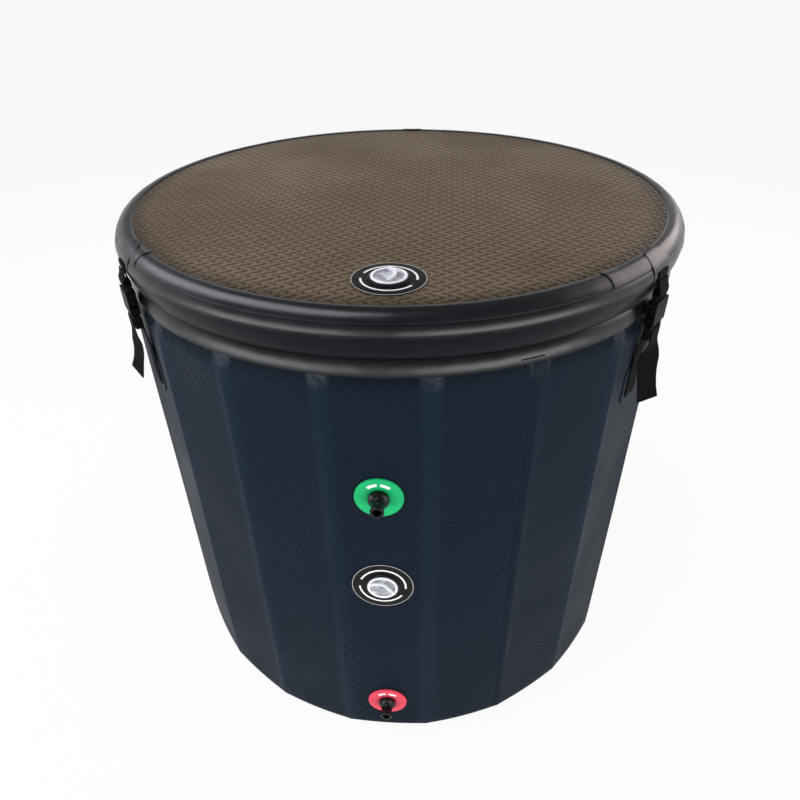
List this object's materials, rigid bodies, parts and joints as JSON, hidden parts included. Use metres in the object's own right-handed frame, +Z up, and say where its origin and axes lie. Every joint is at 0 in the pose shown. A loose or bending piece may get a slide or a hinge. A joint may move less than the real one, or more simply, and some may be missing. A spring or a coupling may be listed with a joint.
{
  "type": "cold plunge tub",
  "caption": "Round inflatable cold plunge tub with a faceted wall, an inflatable lid held by buckled straps, hose ports and twist-cap inflation valves.",
  "frame": {"origin": "middle of the underside, on the floor", "axes": "+Z up, -Y out through the water ports, +X to the right of a person who faces the ports"},
  "size_m": [0.7998, 0.8396, 0.7666],
  "materials": {
    "wall": "satin",
    "tape": "gloss",
    "panel": "satin",
    "core": "matte",
    "label": "satin",
    "valve": "gloss",
    "green": "satin",
    "red": "satin",
    "fitting": "satin",
    "rubber": "matte",
    "webbing": "matte",
    "buckle": "satin",
    "steel": "satin"
  },
  "bodies": {
    "tub": {"wall_outer_skin": "wall", "wall_air_core": "core", "wall_inner_liner": "wall", "wall_rim_tape": "tape", "base_sheet": "wall", "wall_seam_strip": "tape", "upper_port_cover_disc": "green", "upper_port_hose_tail": "fitting", "upper_port_wall_sleeve": "wall", "upper_port_inner_gasket": "rubber", "upper_port_lock_nut": "fitting", "lower_port_cover_disc": "red", "lower_port_hose_tail": "fitting", "lower_port_wall_sleeve": "wall", "lower_port_inner_gasket": "rubber", "lower_port_lock_nut": "fitting", "wall_valve_label_disc": "label", "wall_valve_body": "valve", "wall_valve_clamp_nut": "fitting", "wall_valve_spring": "steel", "left_wall_strap": "webbing", "left_wall_strap_patch": "wall", "left_buckle_plug": "buckle", "right_wall_strap": "webbing", "right_wall_strap_patch": "wall", "right_buckle_plug": "buckle", "rear_wall_strap": "webbing", "rear_wall_strap_patch": "wall", "rear_buckle_plug": "buckle"},
    "lid": {"lid_top_panel": "panel", "lid_air_core": "core", "lid_bottom_panel": "wall", "lid_edge_tape": "tape", "lid_side_tape": "tape", "lid_valve_label_disc": "label", "lid_valve_body": "valve", "lid_valve_clamp_nut": "fitting", "lid_valve_spring": "steel", "left_lid_strap": "webbing", "left_lid_strap_patch": "tape", "left_buckle_socket": "buckle", "right_lid_strap": "webbing", "right_lid_strap_patch": "tape", "right_buckle_socket": "buckle", "rear_lid_strap": "webbing", "rear_lid_strap_patch": "tape", "rear_buckle_socket": "buckle"},
    "wall_valve_stem": {"wall_valve_stem": "valve"},
    "wall_valve_seal": {"wall_valve_cap_seal": "rubber"},
    "wall_valve_cap": {"wall_valve_cap": "valve"},
    "lid_valve_stem": {"lid_valve_stem": "valve"},
    "lid_valve_seal": {"lid_valve_cap_seal": "rubber"},
    "lid_valve_cap": {"lid_valve_cap": "valve"},
    "left_buckle_arm_b": {"left_buckle_arm_b": "buckle"},
    "left_buckle_arm_a": {"left_buckle_arm_a": "buckle"},
    "right_buckle_arm_b": {"right_buckle_arm_b": "buckle"},
    "right_buckle_arm_a": {"right_buckle_arm_a": "buckle"},
    "rear_buckle_arm_b": {"rear_buckle_arm_b": "buckle"},
    "rear_buckle_arm_a": {"rear_buckle_arm_a": "buckle"}
  },
  "joints": [
    {"name": "lid_lift", "type": "slide", "parent": "tub", "child": "lid", "axis": [0, 0, 1], "range_m": [0, 0.35]},
    {"name": "wall_valve_stem_push", "type": "slide", "parent": "tub", "child": "wall_valve_stem", "axis": [0, 1, 0], "range_m": [0, 0.006], "stiffness_N_per_m": 600, "deforming": ["wall_valve_spring"]},
    {"name": "wall_valve_cap_turn", "type": "hinge", "parent": "tub", "child": "wall_valve_seal", "pos_m": [0, -0.3916, 0.35], "axis": [0, -1, 0], "range_deg": [0, 90]},
    {"name": "wall_valve_cap_lift", "type": "slide", "parent": "wall_valve_seal", "child": "wall_valve_cap", "axis": [0, -1, 0], "range_m": [0, 0.025]},
    {"name": "lid_valve_stem_push", "type": "slide", "parent": "lid", "child": "lid_valve_stem", "axis": [0, 0, -1], "range_m": [0, 0.006], "stiffness_N_per_m": 600, "deforming": ["lid_valve_spring"]},
    {"name": "lid_valve_cap_turn", "type": "hinge", "parent": "lid", "child": "lid_valve_seal", "pos_m": [0.01092, -0.31281, 0.7596], "axis": [0, 0, 1], "range_deg": [0, 90]},
    {"name": "lid_valve_cap_lift", "type": "slide", "parent": "lid_valve_seal", "child": "lid_valve_cap", "axis": [0, 0, 1], "range_m": [0, 0.025]},
    {"name": "left_arm_b_squeeze", "type": "hinge", "parent": "tub", "child": "left_buckle_arm_b", "pos_m": [-0.32027, -0.24567, 0.676], "axis": [-0.809, -0.5878, 0], "range_deg": [0, 8], "stiffness_Nm_per_rad": 0.8},
    {"name": "left_arm_a_squeeze", "type": "hinge", "parent": "tub", "child": "left_buckle_arm_a", "pos_m": [-0.33261, -0.22868, 0.676], "axis": [0.809, 0.5878, 0], "range_deg": [0, 8], "stiffness_Nm_per_rad": 0.8},
    {"name": "right_arm_b_squeeze", "type": "hinge", "parent": "tub", "child": "right_buckle_arm_b", "pos_m": [0.33261, -0.22868, 0.676], "axis": [0.809, -0.5878, 0], "range_deg": [0, 8], "stiffness_Nm_per_rad": 0.8},
    {"name": "right_arm_a_squeeze", "type": "hinge", "parent": "tub", "child": "right_buckle_arm_a", "pos_m": [0.32027, -0.24567, 0.676], "axis": [-0.809, 0.5878, 0], "range_deg": [0, 8], "stiffness_Nm_per_rad": 0.8},
    {"name": "rear_arm_b_squeeze", "type": "hinge", "parent": "tub", "child": "rear_buckle_arm_b", "pos_m": [-0.0105, 0.4035, 0.676], "axis": [0, 1, 0], "range_deg": [0, 8], "stiffness_Nm_per_rad": 0.8},
    {"name": "rear_arm_a_squeeze", "type": "hinge", "parent": "tub", "child": "rear_buckle_arm_a", "pos_m": [0.0105, 0.4035, 0.676], "axis": [0, -1, 0], "range_deg": [0, 8], "stiffness_Nm_per_rad": 0.8}
  ],
  "couplings": [
    {"joint": "left_arm_a_squeeze", "follows": "left_arm_b_squeeze", "ratio": 1},
    {"joint": "right_arm_a_squeeze", "follows": "right_arm_b_squeeze", "ratio": 1},
    {"joint": "rear_arm_a_squeeze", "follows": "rear_arm_b_squeeze", "ratio": 1}
  ]
}
